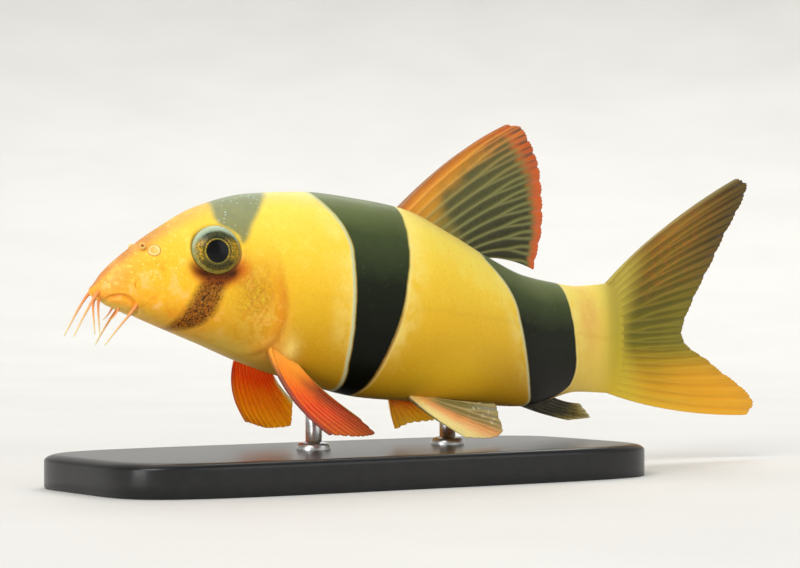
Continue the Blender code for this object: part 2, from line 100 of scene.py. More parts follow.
def smooth(x, knots, values):
    """Cubic curve through the knots that never overshoots: the slope at each knot is a weighted
    harmonic mean of the slopes beside it, or 0 where they turn."""
    knots = np.asarray(knots, float)
    values = np.asarray(values, float)
    step = np.diff(knots)
    rise = np.diff(values) / step
    same = rise[:-1] * rise[1:] > 0
    before = 2 * step[1:] + step[:-1]
    after = step[1:] + 2 * step[:-1]
    share = before * rise[1:] + after * rise[:-1] + ~same
    slope = np.concatenate(([rise[0]], (before + after) * rise[:-1] * rise[1:] / share * same,
                            [rise[-1]]))
    x = np.asarray(x, float)
    i = np.clip(np.searchsorted(knots, x) - 1, 0, len(step) - 1)
    t = np.clip((x - knots[i]) / step[i], 0.0, 1.0)
    return ((1 + 2 * t) * (1 - t) ** 2 * values[i] + t * (1 - t) ** 2 * step[i] * slope[i]
            + t * t * (3 - 2 * t) * values[i + 1] + t * t * (t - 1) * step[i] * slope[i + 1])


def fade(x, start, end):
    """0 before start, 1 after end, and 3t² - 2t³ between."""
    t = np.clip((x - start) / (end - start), 0.0, 1.0)
    return t * t * (3 - 2 * t)


def bell(x, width):
    """1 at x = 0, falling away as exp(-(x / width)²)."""
    return np.exp(-(x / width) ** 2)


def signed(x, power):
    """The size of x to a power, with the sign of x."""
    return np.sign(x) * np.abs(x) ** power


def unit(vectors):
    """The same vectors with a length of 1."""
    return vectors / np.maximum(np.linalg.norm(vectors, axis=-1, keepdims=True), 1e-9)


def around(sides):
    """Angles evenly round a circle, from 0."""
    return np.arange(sides) * 2 * math.pi / sides


def plan_line():
    """Middle line in plan: the heading's cosine and sine summed up from ahead of the snout to
    behind the tail, and set through the pivot."""
    along = np.linspace(-20.0, 140.0, 1601)
    angle = np.radians(smooth(along, *zip(*HEADING)))
    line = []
    for share, pivot in zip((np.cos(angle), np.sin(angle)), PIVOT_PLACE):
        steps = (share[1:] + share[:-1]) / 2 * (along[1] - along[0])
        walk = np.concatenate(([0.0], np.cumsum(steps)))
        line.append(walk + (pivot - np.interp(PIVOT_ALONG, along, walk)))
    return along, *line, angle


PLAN = plan_line()


def place(along, side, height):
    """World points in mm: a step along the middle line, then side square to it, then up."""
    line, x, y, angle = PLAN
    heading = np.interp(along, line, angle)
    return np.stack(np.broadcast_arrays(
        np.interp(along, line, x) + side * np.sin(heading),
        np.interp(along, line, y) - side * np.cos(heading),
        LEVEL + height), axis=-1)


def body_value(along, stations):
    """A body value between its stations, which are closer together in the blunt snout."""
    places, values = zip(*stations)
    return smooth(np.sqrt(np.clip(along, 0.0, LENGTH)), np.sqrt(places), values)


def section(along, turn):
    """Plain body: side = half width · sin^p, height = widest + reach · cos^p, with p = 2 over the
    roundness. turn is 0 on the back, 90 degrees on the left and 180 on the belly. Behind the last
    station the sides close to a wedge that runs out on the tail fin."""
    c = np.cos(turn)
    above = c > 0
    widest = body_value(along, WIDEST)
    power = 2.0 / np.where(above, body_value(along, ROUND_ABOVE), body_value(along, ROUND_BELOW))
    reach = np.where(above, body_value(along, BACK) - widest, widest - body_value(along, BELLY))
    wedge = 1 - 0.9 * fade(along, LENGTH - 1.5, LENGTH + TAIL_WEDGE)
    side = body_value(along, HALF_WIDTH) * wedge * signed(np.sin(turn), power)
    return side, widest + reach * signed(c, power)


def gill_line(turn):
    """Distance from the snout of the gill opening: it bulges back on the flank."""
    flank = np.abs(np.sin(turn)) ** 1.5
    return np.where(np.cos(turn) < 0, GILL_THROAT, GILL_TOP) * (1 - flank) + GILL_FLANK * flank


def lips(along, height):
    """Upper lip as a band between two arches, over a chin pad: a sine swell between the arches
    and grooves along both, faded out at the corners of the mouth. An arch falls with the square
    of the distance from the mouth's middle, and more gently ahead of it."""
    ahead = along - MOUTH_MIDDLE
    ahead = np.where(ahead < 0, ahead * 0.5, ahead)
    border = height - BORDER_TOP + BORDER_FALL * ahead ** 2
    parting = height - PARTING_TOP + PARTING_FALL * ahead ** 2
    band = np.clip(border / (border - parting), 0.0, 1.0)
    border = border / np.hypot(1.0, 2 * BORDER_FALL * ahead)
    parting = parting / np.hypot(1.0, 2 * PARTING_FALL * ahead)
    reach = (fade(along, MOUTH_FRONT - 0.3, MOUTH_FRONT + 0.5)
             * (1 - fade(along, MOUTH_END, MOUTH_END + 1.2)))
    swell = LIP_SWELL * np.sin(math.pi * band) ** 0.8 + CHIN_SWELL * fade(-parting, 0.0, 0.7)
    wrinkle = LIP_WRINKLE * np.sin(9.0 * ahead) * bell(border + 0.5, 0.5)
    grooves = PARTING_DEPTH * bell(parting, 0.24) + BORDER_DEPTH * bell(border, 0.25)
    return reach * (swell + wrinkle - grooves)


def fall(along, crease):
    """Height of a straight crease along the fish: (start, height there, slope, depth)."""
    start, height, slope, _ = crease
    return height + slope * (along - start)


def bump(along, height, swelling):
    """Bell-shaped swelling: (along, height, squeeze of its height, how high, how wide)."""
    middle, level, squeeze, high, wide = swelling
    return high * bell(np.hypot(along - middle, (height - level) * squeeze), wide)


def relief(along, turn, height):
    """How far the skin stands out of the plain section, as a sum of bells and ridges."""
    flank = fade(np.abs(np.sin(turn)), 0.35, 0.75)
    behind = along - gill_line(turn)
    cover = ((COVER_SWELL * bell(behind + 0.9, 0.9) - COVER_GROOVE * bell(behind - 0.4, 0.5))
             * (1 - 0.9 * fade(height, -4.0, 4.0)))
    eye = np.hypot(along - EYE_PLACE[0], height - EYE_PLACE[1]) - EYE_RADIUS
    rim = RIM_SWELL * bell(eye - 0.35, 0.3) - SOCKET_DEPTH * (1 - fade(eye, -0.3, 0.03))
    fold = (bell(height - fall(along, SNOUT_FOLD), 0.22) * bell(along - SNOUT_FOLD[0], 2.2)
            * SNOUT_FOLD[3])
    line = bell(height - fall(along, SENSE_LINE), 0.3) * fade(along, 29.0, 32.0) * SENSE_LINE[3]
    cheek = bump(along, height, CHEEK)
    return (lips(along, height) + flank * (cover + rim + cheek - fold - line)
            + bump(along, height, SNOUT_KNOB) + bump(along, height, FIN_LOBE))


def skin(along, turn, raised=1.0):
    """Skin points as (along, side, height) and their outward normals: the plain section plus a
    share of its relief along the normal, which is the cross product of two small steps."""
    along, turn = np.broadcast_arrays(np.asarray(along, float), np.asarray(turn, float))
    side, height = section(along, turn)
    step = 0.02
    low = np.clip(along - step, 0.0, LENGTH)
    high = np.clip(along + step, 0.0, LENGTH)
    ahead = np.stack([high - low, *np.subtract(section(high, turn), section(low, turn))], axis=-1)
    beside = np.stack([np.zeros_like(along), *np.subtract(section(along, turn + step),
                                                          section(along, turn - step))], axis=-1)
    normal = unit(np.cross(ahead, beside))
    point = np.stack([along, side, height], axis=-1)
    return point + normal * raised * relief(along, turn, height)[..., None], normal


def shell(name, rings, ends, **values):
    """A closed mesh through rings of points in mm, kept as rows by columns, where each row closes
    on itself. ends is "poles" for a point in the middle of each end ring, or "folded" where a
    ring runs out along one face and back along the other. Each value is an attribute."""
    rows, columns = rings.shape[:2]
    index = np.arange(rows * columns).reshape(rows, columns)
    after = np.roll(index, -1, axis=1)
    quads = np.stack([index[:-1], after[:-1], after[1:], index[1:]], axis=-1).reshape(-1, 4)
    points = rings.reshape(-1, 3)
    if ends == "poles":
        points = np.vstack([points, rings[0].mean(axis=0), rings[-1].mean(axis=0)])
        first = np.full(columns, rows * columns)
        caps = np.vstack([np.column_stack([first, after[0], index[0]]),
                          np.column_stack([first + 1, index[-1], after[-1]])])
    else:
        out = np.arange(columns // 2 - 1)
        back = columns - 1 - out
        first = np.column_stack([out, back, back - 1, out + 1])
        caps = np.vstack([index[0][first], index[-1][first[:, [0, 3, 2, 1]]]])
    mesh = bpy.data.meshes.new(name)
    mesh.from_pydata((points * MM).tolist(), [], quads.tolist() + caps.tolist())
    volume = sum(np.einsum("ij,ij->", points[face[:, 0]],
                           np.cross(points[face[:, k]], points[face[:, k + 1]]))
                 for face in (quads, caps) for k in range(1, face.shape[1] - 1))
    if volume < 0:
        mesh.flip_normals()
    mesh.shade_smooth()
    for label, value in values.items():
        value = np.stack(np.broadcast_arrays(*value), axis=-1).reshape(-1, 3)
        if ends == "poles":
            value = np.vstack([value, value[:columns].mean(axis=0), value[-columns:].mean(axis=0)])
        layer = mesh.attributes.new(label, "FLOAT_VECTOR", "POINT")
        layer.data.foreach_set("vector", value.astype(np.float32).ravel())
    made = bpy.data.objects.new(name, mesh)
    bpy.context.collection.objects.link(made)
    return made


class Wire:
    """A socket in a material's nodes: sums and products of it add Math nodes."""

    def __init__(self, tree, socket=None):
        self.tree = tree
        self.socket = socket

    def feed(self, node, inputs):
        """Sets a node's sockets, or links them where the value is a Wire."""
        for key, value in inputs.items():
            if isinstance(value, Wire):
                self.tree.links.new(value.socket, node.inputs[key])
            else:
                node.inputs[key].default_value = value

    def node(self, kind, settings, inputs, output=0):
        """Any other node: its settings are set first, then its sockets."""
        made = self.tree.nodes.new("ShaderNode" + kind)
        for name, value in settings.items():
            setattr(made, name, value)
        self.feed(made, inputs)
        return Wire(self.tree, made.outputs[output])

    def math(self, operation, *values):
        return self.node("Math", {"operation": operation}, dict(enumerate(values)))

    def __add__(self, other):
        return self.math("ADD", self, other)

    def __sub__(self, other):
        return self.math("SUBTRACT", self, other)

    def __rsub__(self, other):
        return self.math("SUBTRACT", other, self)

    def __mul__(self, other):
        return self.math("MULTIPLY", self, other)

    __radd__ = __add__
    __rmul__ = __mul__

    def fade(self, start, end):
        """0 at start, 1 at end, smooth between, whichever of the two is higher."""
        return self.node("MapRange", {"interpolation_type": "SMOOTHSTEP"},
                         {0: self, 1: start, 2: end, 3: 0.0, 4: 1.0})

    def bell(self, middle, width):
        """1 at the middle, nearly 0 two widths from it: exp(-((x - middle) / width)²)."""
        away = (self - middle) * (1.0 / width)
        return self.math("EXPONENT", away * away * -1.0)

    def spot(self, other, middle, level, width, high=1.0):
        """A round or stretched spot in the plane of two values, bell-shaped."""
        away = (self - middle) * (1.0 / width)
        off = (other - level) * (1.0 / (width * high))
        return self.math("EXPONENT", (away * away + off * off) * -1.0)

    def lay(self, colour, mask):
        """This colour with another laid over it where the mask is 1."""
        return self.node("Mix", {"data_type": "RGBA"}, {0: mask, 6: self, 7: colour}, 2)

    def coats(self, *layers):
        """This colour under coats of paint, the first one lowest: (red, green, blue, mask)."""
        colour = self
        for *levels, mask in layers:
            colour = colour.lay(paint(*levels), mask)
        return colour

    def ramp(self, *stops):
        """Colour by value, through paints at the stops (value, red, green, blue)."""
        made = self.node("ValToRGB", {}, {0: self})
        marks = made.socket.node.color_ramp.elements
        marks[0].position = stops[0][0]
        marks[1].position = stops[-1][0]
        for value, *_ in stops[1:-1]:
            marks.new(value)
        for mark, (_, *levels) in zip(marks, stops):
            mark.color = paint(*levels)
        return made

    def value(self, label):
        """The three values of one of the piece's own attributes."""
        vector = self.node("Attribute", {"attribute_name": label}, {}, "Vector")
        made = self.node("SeparateXYZ", {}, {0: vector}).socket.node
        return [Wire(self.tree, out) for out in made.outputs]

    def noise(self, size, detail=2.0, rough=0.5):
        """Cloudy noise from 0 to 1, with lumps of a size in mm."""
        spot = self.node("TexCoord", {}, {}, "Object")
        return self.node("TexNoise", {}, {"Vector": spot, "Scale": 1.0 / (size * MM),
                                          "Detail": detail, "Roughness": rough})

    def cells(self, size):
        """Distance to the nearest of scattered points, which lie about a size in mm apart."""
        spot = self.node("TexCoord", {}, {}, "Object")
        return self.node("TexVoronoi", {}, {"Vector": spot, "Scale": 1.0 / (size * MM)},
                         "Distance")


def paint(red, green, blue):
    """A paint's colour from its 0 to 255 values, as light values: ((c + 0.055) / 1.055)^2.4, or
    c / 12.92 near black."""
    levels = [value / 255.0 for value in (red, green, blue)]
    return (*((((v + 0.055) / 1.055) ** 2.4 if v > 0.04045 else v / 12.92) for v in levels), 1.0)


def finish(name, work, *choice):
    """A new material: work lays its colour and relief, and returns what the shader is fed. It
    is told any choice that is made here."""
    made = bpy.data.materials.new(name)
    made.use_nodes = True
    shader = made.node_tree.nodes["Principled BSDF"]
    start = Wire(made.node_tree)
    looks = work(start, *choice)
    if "Bump" in looks:
        looks["Normal"] = start.node("Bump", {}, {"Height": looks.pop("Bump"), "Distance": MM})
    start.feed(shader, looks)
    return made


def hang(piece, material, slot, *nodes):
    """Finishes a piece, rides it on the model's one body and lets it stand for its CAD nodes."""
    piece.data.materials.append(material)
    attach(piece, "root")
    if nodes:
        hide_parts(*nodes)


# Front and rear edges of the bands, each as (height, distance from the snout) from the belly up
BAND_ONE = (((-7.5, 10.6), (-5.9, 11.4), (-3.1, 13.2), (-0.9, 14.4), (0.9, 15.6), (5.6, 21.6),
             (6.8, 21.6), (8.0, 20.3), (8.9, 18.8), (10.1, 18.3), (12.0, 18.5), (14.0, 18.6)),
            ((-7.5, 11.6), (-6.4, 14.8), (-4.5, 16.9), (-2.3, 18.0), (0.9, 19.4), (5.6, 21.9),
             (6.9, 22.8), (9.0, 23.9), (10.5, 25.0), (12.5, 26.5), (13.8, 27.6)))
BAND_TWO = (((-17.0, 38.9), (-14.0, 38.8), (-11.5, 38.6), (-5.2, 38.9), (-1.0, 39.1), (5.4, 39.2),
             (7.9, 38.6), (10.3, 37.4), (13.2, 35.2), (14.6, 34.2)),
            ((-17.0, 41.4), (-14.9, 42.7), (-12.1, 43.8), (-9.7, 44.7), (-6.3, 46.0), (-3.1, 47.0),
             (0.1, 47.7), (3.8, 48.6), (6.5, 49.0), (9.8, 49.4), (12.0, 49.6)))
BAND_THREE = (((-18.8, 78.3), (-17.0, 76.8), (-13.6, 74.9), (-10.1, 73.5), (-8.0, 72.8),
               (-5.5, 72.1), (-3.2, 71.6), (-1.7, 71.0), (0.0, 70.0), (1.6, 68.7), (3.8, 66.7)),
              ((-19.0, 83.5), (-17.6, 86.6), (-16.2, 88.3), (-13.9, 88.7), (-10.4, 88.0),
               (-7.0, 87.5), (-3.9, 87.1), (-1.3, 86.9), (0.8, 86.7)))


# Paints where the body turns into the tail fin, from belly to back
TAIL_ROOT_PAINTS = ((0.0, 216, 184, 48), (0.5, 196, 176, 54), (1.0, 190, 170, 72))


def band_sides(height, along):
    """Distances in mm behind the front edges and ahead of the rear edges of the three bands."""
    fronts, rears = zip(BAND_ONE, BAND_TWO, BAND_THREE)
    return ([along - smooth(height, *zip(*edge)) for edge in fronts],
            [smooth(height, *zip(*edge)) - along for edge in rears])


def skin_finish(w):
    along, height, rise = w.value("spot")
    behind_gill, eye, line = w.value("parts")
    fronts = w.value("fronts")
    rears = w.value("rears")
    cloud = w.noise(9.0, 3.0)
    drift = w.noise(2.6, 4.0, 0.65)
    mottle = w.noise(1.1, 3.0, 0.7)
    grain = w.noise(0.35, 2.0, 0.7)
    head = along.fade(27.0, 8.0)
    # Yellow ground by rise from belly to back: darker towards the belly, partly its own tone and
    # partly painted shade
    flesh = (rise + (cloud - 0.5) * 0.14).ramp(
        (0.0, 196, 142, 24), (0.2, 210, 158, 22), (0.45, 238, 188, 42),
        (0.7, 250, 210, 66), (0.9, 252, 226, 96), (1.0, 238, 216, 130))

    # Warm head with a paler throat, the pale rear part of the flank, and a painted pool of light
    # low on the middle of the flank
    throat = rise.fade(0.16, 0.02) * along.fade(34.0, 20.0)
    flesh = flesh.coats(
        (250, 186, 44, head * 0.7),
        (252, 166, 52, along.fade(12.0, 1.0) * (1 - rise * 0.3) * 0.8),
        (250, 150, 84, along.spot(height, 2.0, 2.0, 3.4) * 0.55),
        (206, 150, 92, rise.fade(0.86, 1.0) * head * 0.6),
        (238, 196, 84, throat),
        (232, 146, 36, along.spot(height, 13.0, -5.5, 5.0, 0.55) * 0.5),
        # Painted light: a paler pool low on the middle of the flank, where the body turns down
        # into shade
        (255, 206, 44, along.spot(height, 58.0, -14.0, 9.0, 0.5) * 0.6),
        (255, 234, 116, along.fade(86.0, 90.0) * 0.5),
        (238, 164, 104, along.spot(height, 92.5, -5.5, 3.6, 1.5) * 0.5))

    # Gill cover in orange and cheek in speckled brass, and the pale lobe over the fin's root
    cover = behind_gill.fade(0.6, -0.6) * along.fade(20.5, 23.0) * height.bell(-2.0, 5.5)
    cheek = along.spot(height, 22.8, -1.8, 2.8, 1.2)
    lobe = along.spot(height, 29.2, -9.9, 1.3, 1.5)
    flesh = flesh.coats(
        (226, 150, 24, cover * (0.45 + mottle.fade(0.3, 0.7) * 0.5)),
        (190, 98, 20, cover * w.noise(0.7, 4.0, 0.8).fade(0.5, 0.66) * 0.5),
        (206, 84, 10, along.spot(height, 21.4, 2.0, 1.4, 1.4) * 0.9),
        (232, 138, 20, behind_gill.bell(-0.4, 1.2) * height.bell(-4.5, 5.0) * 0.6),
        (196, 148, 26, cheek * 0.6),
        (140, 84, 20, cheek * w.noise(0.5, 3.0, 0.8).fade(0.45, 0.62) * 0.5),
        (222, 204, 36, cheek * w.noise(0.4, 2.0, 0.6).fade(0.56, 0.68) * 0.9),
        (236, 156, 60, along.spot(height, 26.5, -9.6, 2.4) * 0.7),
        (252, 224, 120, lobe * 0.8),
        (214, 150, 44, lobe * w.noise(0.8, 2.0).fade(0.5, 0.7) * 0.35))

    # Sense line, pores, and mottling in light and dark
    pores = w.cells(0.9).fade(0.22, 0.1) * head * rise.fade(0.35, 0.6) * eye.fade(0.8, 2.0)
    snout = along.fade(14.0, 7.0) * rise.fade(0.3, 0.6)
    lower = head * rise.fade(0.8, 0.55)
    folds = along.spot(height, 24.5, -6.0, 4.2, 0.8)
    flesh = flesh.coats(
        (222, 176, 44, line.bell(-0.1, 0.5) * behind_gill.fade(1.0, 5.0) * 0.25),
        (255, 238, 140, pores * 0.7),
        (255, 226, 110, snout * w.noise(0.55, 1.0).fade(0.66, 0.74) * 0.8),
        (206, 128, 84, snout * rise.fade(0.8, 1.0) * 0.6),
        (255, 232, 110, grain.fade(0.5, 0.85) * (0.15 + rise * 0.2)),
        (206, 140, 24, (1 - grain).fade(0.5, 0.85) * 0.3),
        (250, 196, 70, mottle.fade(0.5, 0.8) * head * 0.35),
        (255, 206, 130, drift.fade(0.52, 0.66) * lower * 0.45),
        (232, 136, 34, (1 - drift).fade(0.52, 0.68) * lower * 0.5),
        (255, 236, 120, drift.fade(0.5, 0.7) * rise.fade(0.4, 0.8) * 0.3),
        (232, 150, 34, folds * mottle.fade(0.4, 0.7) * 0.4),
        (255, 218, 110, folds * drift.bell(0.5, 0.06) * 0.32))

    # Painted shade: a dark line in the bowed crease above the mouth, and the shade under the eye
    bow = along - (height + 0.2) * (height + 0.2) * 0.6
    under = height.fade(4.4, 1.4) * along.fade(22.0, 20.0) * along.fade(12.5, 14.5)
    flesh = flesh.coats(
        (170, 92, 16, bow.bell(5.75, 0.08) * height.bell(0.0, 0.6) * 0.7),
        (200, 84, 10, eye.fade(2.8, 0.4) * under * 0.9),
        (44, 18, 4, eye.fade(2.0, 0.3) * under * 0.97))

    # Second and third band, in black that turns olive on the back, between pale edges
    edge = (w.noise(1.6, 3.0, 0.6) - 0.5) * 0.25
    within = [w.math("MINIMUM", front, rear) + edge for front, rear in zip(fronts, rears)]
    glow = w.noise(3.5, 3.0, 0.6).fade(0.3, 0.7) * rise.fade(0.05, 0.4)
    for band in within[1:]:
        flesh = flesh.coats(
            (255, 240, 146, band.fade(-5.0, -0.5) * glow * 0.5),
            (246, 226, 140, band.fade(-0.9, -0.3) * band.fade(0.1, -0.2) * 0.6))
    flesh = flesh.coats(
        *((176, 196, 176, (front + edge).bell(-0.3, 0.2) * 0.75) for front in fronts[1:]),
        (150, 74, 14, rears[1].bell(-0.15, 0.25) * rise.fade(0.6, 0.3) * 0.7))
    ink = (rise + (cloud - 0.5) * 0.12).ramp(
        (0.0, 10, 8, 2), (0.3, 10, 13, 3), (0.58, 20, 27, 9),
        (0.8, 66, 77, 44), (0.93, 104, 114, 72), (1.0, 124, 134, 94))
    ink = ink.coats((110, 120, 90, mottle.fade(0.55, 0.8) * rise.fade(0.3, 0.7) * 0.16))
    for band in within[1:]:
        flesh = flesh.lay(ink, band.fade(-0.3, 0.25))

    # First band: a grey green saddle over the crown, and a speckled brown patch below the eye,
    # with painted shadow where the skin meets the lower half of the eye
    crown = within[0].fade(-0.7, 0.7) * height.fade(5.4, 6.6)
    patch = within[0].fade(-0.8, 1.1) * height.fade(2.0, 0.0) * height.fade(-7.4, -5.8)
    saddle = rise.ramp((0.6, 92, 96, 40), (0.75, 122, 128, 92), (1.0, 134, 148, 122))
    flesh = flesh.lay(saddle, crown * (0.8 + mottle * 0.2)).coats(
        (140, 66, 16, patch * 0.8),
        (26, 20, 12, patch * w.noise(0.36, 3.0, 0.9).fade(0.42, 0.6) * 0.9),
        (170, 150, 84, patch * w.noise(0.3, 1.0).fade(0.66, 0.74) * 0.6),
        (206, 220, 214, w.cells(0.75).fade(0.2, 0.08) * crown * 0.75),
        # Painted shadow round the lower half of the eye, where the skin meets it
        (80, 40, 8, eye.bell(0.0, 0.12) * height.fade(8.0, 3.0) * 0.8))

    root = (along + (cloud - 0.5) * 2.0).fade(LENGTH - 5.0, LENGTH + 2.0)
    flesh = flesh.lay(rise.ramp(*TAIL_ROOT_PAINTS), root)
    return {"Base Color": flesh, "Roughness": 0.38 + grain * 0.14,
            "Bump": w.cells(0.45) * -0.02 + grain * 0.02 + pores * -0.03,
            "Coat Weight": 0.04, "Coat Roughness": 0.25, "Specular IOR Level": 0.1,
            "Subsurface Weight": 0.12, "Subsurface Radius": (1.0, 0.6, 0.2),
            "Subsurface Scale": 0.0012}


def body_skin():
    """Skin rings at along = whole length · share², which draws them together in the snout. Their
    points draw together on the belly: turn + 0.2 · sin(turn)."""
    share = (np.arange(SKIN_RINGS) + 0.6) / (SKIN_RINGS - 0.4)
    along = ((LENGTH + TAIL_WEDGE) * share ** 2)[:, None]
    turn = around(SKIN_SIDES)[None]
    turn = turn + 0.2 * np.sin(turn)
    points = skin(along, turn)[0]
    plain_height = section(along, turn)[1]
    back = body_value(along, BACK)
    belly = body_value(along, BELLY)
    eye = np.hypot(along - EYE_PLACE[0], plain_height - EYE_PLACE[1]) - EYE_RADIUS
    fronts, rears = band_sides(plain_height, along)
    return shell("body_skin", place(*np.moveaxis(points, -1, 0)), "poles",
                 spot=(along, plain_height, (plain_height - belly) / (back - belly)),
                 parts=(along - gill_line(turn), eye, plain_height - fall(along, SENSE_LINE)),
                 fronts=fronts, rears=rears)


hang(body_skin(), finish("loach_skin", skin_finish), "skin", "head", "trunk", "tail")


# Eyes: glass eyes set in the head, each a flattened ball with a black pupil, a thin gold ring
# and an olive iris flecked with gold, painted behind a clear polished front. They sit over half
# sunk in their sockets, and the pupil lies a little below the middle.

EYE_BULGE = 1.9
EYE_DEPTH = 0.55
EYE_LEVELLING = 0.55
EYE_RINGS = 72
EYE_SIDES = 96
PUPIL_SHIFT = (0.03, 0.1)


def turn_at(along, height, side):
    """Where round the section the skin reaches a height, by looking it up on half a ring."""
    turns = np.linspace(0.0, math.pi, 721)
    heights = section(np.full_like(turns, along), turns)[1]
    found = np.interp(-height, -heights, turns)
    return found if side == "left" else -found


def skin_frame(along, height, side, levelling=1.0):
    """World point of the plain skin in mm, and its outward, level and third axes. Levelling
    below 1 takes that share of the outward axis's rise."""
    point, normal = skin(along, turn_at(along, height, side), 0.0)
    normal = normal * (1.0, 1.0, levelling)
    foot = place(*point)
    out = unit(place(*(point + normal)) - foot)
    level = unit(np.cross((0.0, 0.0, 1.0), out))
    return foot, out, level, np.cross(out, level)


def turned(frame_axes, radius, offset, columns):
    """Rings turned round an outward axis: foot + out · offset + radius · (cos, sin)."""
    foot, out, level, third = frame_axes
    angle = around(columns)[:, None]
    flat = np.cos(angle) * level + np.sin(angle) * third
    return foot + offset[:, None, None] * out + radius[:, None, None] * flat[None]


def eye_finish(w):
    level, up, _ = w.value("iris")
    radius = w.math("SQRT", level * level + up * up)
    beside = level + PUPIL_SHIFT[0]
    below = up + PUPIL_SHIFT[1]
    pupil = w.math("SQRT", beside * beside + below * below)
    fleck = w.noise(0.24, 3.0, 0.8)
    foot = (0.0 - up + fleck * 0.2).fade(0.42, 0.66) * radius.fade(0.92, 0.8)
    iris = fleck.ramp((0.3, 30, 34, 6), (0.43, 92, 90, 10), (0.54, 170, 134, 20),
                      (0.66, 226, 166, 40))
    iris = iris.coats(
        (20, 50, 46, (up + fleck * 0.2).fade(0.3, 0.6) * 0.85),
        (24, 36, 16, foot * 0.85),
        (16, 22, 12, pupil.bell(0.55, 0.04) * 0.75),
        (170, 160, 70, pupil.bell(0.495, 0.012) * (0.3 + fleck) * 0.7),
        (140, 130, 60, pupil.bell(0.55, 0.012) * up.fade(-0.1, -0.5) * 0.5),
        (2, 3, 4, pupil.fade(0.465, 0.44)))
    reach = radius + up.fade(0.0, 1.0) * 0.2 - level.fade(0.2, 1.0) * 0.05 + (fleck - 0.5) * 0.16
    pale = up.fade(-1.0, 1.0).ramp((0.0, 150, 144, 70), (0.4, 150, 164, 116), (1.0, 178, 196, 168))
    iris = iris.lay(pale, reach.fade(0.8, 1.0) * 0.9).coats(
        (210, 216, 190, radius.bell(0.93, 0.03) * up.fade(-0.2, 0.8) * 0.4),
        (74, 62, 20, radius.fade(0.97, 1.0) * 0.8))
    return {"Base Color": iris, "Roughness": 0.35, "Coat Weight": 0.15, "Coat Roughness": 0.08,
            "Specular IOR Level": 0.15}


eye_paint = finish("glass_eye", eye_finish)
for side in ("left", "right"):
    axes = skin_frame(*EYE_PLACE, side, EYE_LEVELLING)
    lean = np.linspace(0.02, math.pi - 0.01, EYE_RINGS)
    circle = around(EYE_SIDES)
    rho = np.sin(lean)
    ball = turned(axes, EYE_RADIUS * rho, -EYE_DEPTH - EYE_BULGE * np.cos(lean), EYE_SIDES)
    eye = shell("eyeball_" + side, ball, "poles",
                iris=(rho[:, None] * np.cos(circle), rho[:, None] * np.sin(circle),
                      -np.cos(lean)[:, None]))
    hang(eye, eye_paint, "eye", "eye_" + side)


# Nostrils: a short skin tube in front and a flat rim behind it on each side of the snout, cast
# with the head. Each is a turned rim round a hollow with painted shade, with a band of painted
# shadow round its foot, which is sunk into the skin.

NOSTRILS = {"front": (7.6, 5.2, 0.4, 0.8), "rear": (9.0, 4.9, 0.78, 0.14)}
RIM_WALK = (0.0, 0.3, 0.5, 0.62, 0.8, 1.0)
RIM_WIDTH = (1.35, 1.08, 1.0, 0.84, 0.6, 0.12)
RIM_HEIGHT = (-0.1, 0.45, 1.0, 1.0, 0.4)
HOLLOW_FLOOR = {"front": -0.3, "rear": 0.2}
HOLLOW_SHADE = {"front": 0.6, "rear": 0.15}
RIM_FOOT = -0.12
RIM_RINGS = 28
RIM_SIDES = 32


def rim_finish(w):
    out, depth, dark = w.value("rim")
    # Pale ring on the rim over a darker band near its foot, which is painted shadow; painted shade
    # deepens the hollow
    colour = out.ramp((0.0, 250, 188, 60), (0.2, 206, 134, 40), (0.45, 255, 222, 140),
                      (0.62, 255, 214, 120), (0.8, 250, 190, 84), (1.0, 255, 206, 90))
    colour = colour.coats(
        (110, 52, 14, depth.fade(0.2, 1.0) * dark),
        (226, 150, 60, w.noise(0.3).fade(0.5, 0.8) * 0.3))
    return {"Base Color": colour, "Roughness": 0.4, "Coat Weight": 0.3, "Coat Roughness": 0.2,
            "Bump": w.noise(0.2) * 0.02}


rim_paint = finish("nostril_skin", rim_finish)
for side in ("left", "right"):
    for end, (along, height, radius, stand) in NOSTRILS.items():
        walk = np.linspace(0.0, 1.0, RIM_RINGS)
        wide = np.interp(walk, RIM_WALK, RIM_WIDTH)
        tall = np.interp(walk, RIM_WALK, (*RIM_HEIGHT, HOLLOW_FLOOR[end]))
        rim = turned(skin_frame(along, height, side), radius * wide,
                     np.where(walk < 0.05, RIM_FOOT, stand * tall), RIM_SIDES)
        piece = shell(f"nostril_{end}_{side}", rim, "poles",
                      rim=(walk[:, None], fade(walk, 0.6, 0.9)[:, None],
                           np.full((1, RIM_SIDES), HOLLOW_SHADE[end])))
        hang(piece, rim_paint, "skin")


# Dorsal fin: a thin cast membrane on twelve forked rays, which are raised on both faces. Its
# front is orange, and the rest is olive black between pale rays, with a thin orange edge.

RAY_LINES = 18
FIN_ROWS = 96
MEMBRANE = 0.09
PLEAT = 0.1
RAY_RIDGE = 0.15
RAY_RING = 0.12
LEADING_RAY = 0.9
ROOT_SINK = 0.15
FIN_GLOSS = {"Roughness": 0.45, "Coat Weight": 0.06, "Coat Roughness": 0.25,
             "Specular IOR Level": 0.25}
DORSAL_ROOT = (51.0, 69.5)
DORSAL_TIPS = ((0.0, 73.0, 1.2, 25.4), (0.1, 76.3, 1.2, 25.3), (0.22, 78.6, 1.2, 23.3),
               (0.45, 81.7, 1.0, 18.0), (0.75, 82.8, 0.6, 10.0), (1.0, 81.0, 0.2, 2.3))
DORSAL_BOWS = ((-1.0, 0.2, 2.5), (0.0, 0.2, 1.0))
DORSAL_RAYS = (12, 0.4, 0.25)


def root_on_skin(start, end):
    """Root points of a fin on the skin, evenly from one (along, turn) to another."""
    def roots(share):
        point, normal = skin(start[0] + (end[0] - start[0]) * share,
                             start[1] + (end[1] - start[1]) * share)
        return point - normal * ROOT_SINK
    return roots


